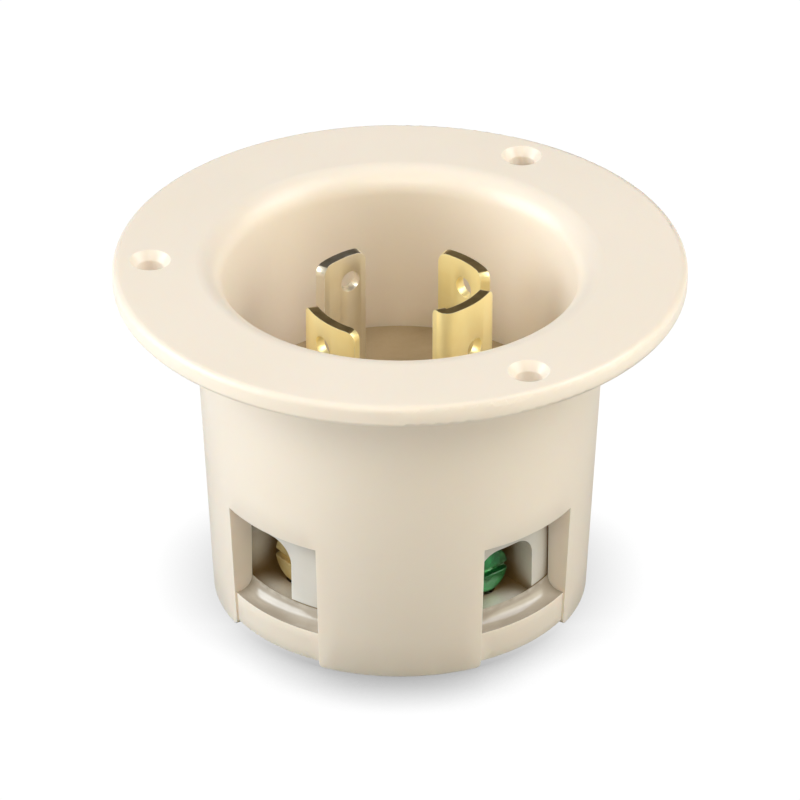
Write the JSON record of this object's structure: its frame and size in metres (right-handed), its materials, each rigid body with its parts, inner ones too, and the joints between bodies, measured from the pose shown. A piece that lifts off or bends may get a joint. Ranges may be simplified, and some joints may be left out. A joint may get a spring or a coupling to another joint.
{
  "type": "flanged locking power inlet",
  "caption": "Round-flanged panel power inlet with curved locking blades in a deep cup, side windows to its terminal screws, and rear wire entries.",
  "frame": {"origin": "centre of the flange's rear face, the plane that lies on the panel", "axes": "+Z out of the panel towards the mating connector; a flange hole lies on -X; the feet point to -Z"},
  "size_m": [0.083, 0.0828, 0.0536],
  "materials": {
    "ivory_nylon": "satin moulded nylon",
    "tan_phenolic": "matt moulding",
    "translucent_core": "translucent moulding",
    "rear_nylon": "satin moulded nylon",
    "brass": "stamped, polished",
    "nickel": "nickel plated, satin",
    "zinc_steel": "zinc plated",
    "brass_screw": "brass, machined",
    "silver_screw": "plated, machined",
    "green_screw": "green dyed plating"
  },
  "bodies": {
    "inlet": {"flange_shell": "ivory_nylon", "blade_base": "tan_phenolic", "terminal_housing": "translucent_core", "rear_cover": "rear_nylon", "assembly_screws": "zinc_steel", "blade_hot_y": "brass", "blade_neutral": "nickel", "blade_hot_x": "brass", "blade_ground": "brass"},
    "hot_y_clamp": {"clamp_hot_y": "zinc_steel", "washer_hot_y": "zinc_steel"},
    "hot_y_screw": {"screw_hot_y": "brass_screw"},
    "neutral_clamp": {"clamp_neutral": "zinc_steel", "washer_neutral": "zinc_steel"},
    "neutral_screw": {"screw_neutral": "silver_screw"},
    "hot_x_clamp": {"clamp_hot_x": "zinc_steel", "washer_hot_x": "zinc_steel"},
    "hot_x_screw": {"screw_hot_x": "brass_screw"},
    "ground_clamp": {"clamp_ground": "zinc_steel", "washer_ground": "zinc_steel"},
    "ground_screw": {"screw_ground": "green_screw"}
  },
  "joints": [
    {"name": "hot_y_clamp_travel", "type": "slide", "parent": "inlet", "child": "hot_y_clamp", "axis": [0.7771, 0.6293, 0], "range_m": [-0.00075, 0.0025]},
    {"name": "hot_y_screw_turn", "type": "hinge", "parent": "hot_y_clamp", "child": "hot_y_screw", "pos_m": [0.01515, 0.01227, -0.0396], "axis": [0.7771, 0.6293, 0], "range_deg": [-345, 1140]},
    {"name": "neutral_clamp_travel", "type": "slide", "parent": "inlet", "child": "neutral_clamp", "axis": [-0.6293, 0.7771, 0], "range_m": [-0.00075, 0.0025]},
    {"name": "neutral_screw_turn", "type": "hinge", "parent": "neutral_clamp", "child": "neutral_screw", "pos_m": [-0.01227, 0.01515, -0.0396], "axis": [-0.6293, 0.7771, 0], "range_deg": [-345, 1140]},
    {"name": "hot_x_clamp_travel", "type": "slide", "parent": "inlet", "child": "hot_x_clamp", "axis": [-0.7771, -0.6293, 0], "range_m": [-0.00075, 0.0025]},
    {"name": "hot_x_screw_turn", "type": "hinge", "parent": "hot_x_clamp", "child": "hot_x_screw", "pos_m": [-0.01515, -0.01227, -0.0396], "axis": [-0.7771, -0.6293, 0], "range_deg": [-345, 1140]},
    {"name": "ground_clamp_travel", "type": "slide", "parent": "inlet", "child": "ground_clamp", "axis": [0.6293, -0.7771, 0], "range_m": [-0.00075, 0.0025]},
    {"name": "ground_screw_turn", "type": "hinge", "parent": "ground_clamp", "child": "ground_screw", "pos_m": [0.01227, -0.01515, -0.0396], "axis": [0.6293, -0.7771, 0], "range_deg": [-345, 1140]}
  ],
  "couplings": [
    {"joint": "hot_y_screw_turn", "follows": "hot_y_clamp_travel", "rad_per_m": 7913.3},
    {"joint": "neutral_screw_turn", "follows": "neutral_clamp_travel", "rad_per_m": 7913.3},
    {"joint": "hot_x_screw_turn", "follows": "hot_x_clamp_travel", "rad_per_m": 7913.3},
    {"joint": "ground_screw_turn", "follows": "ground_clamp_travel", "rad_per_m": 7913.3}
  ]
}
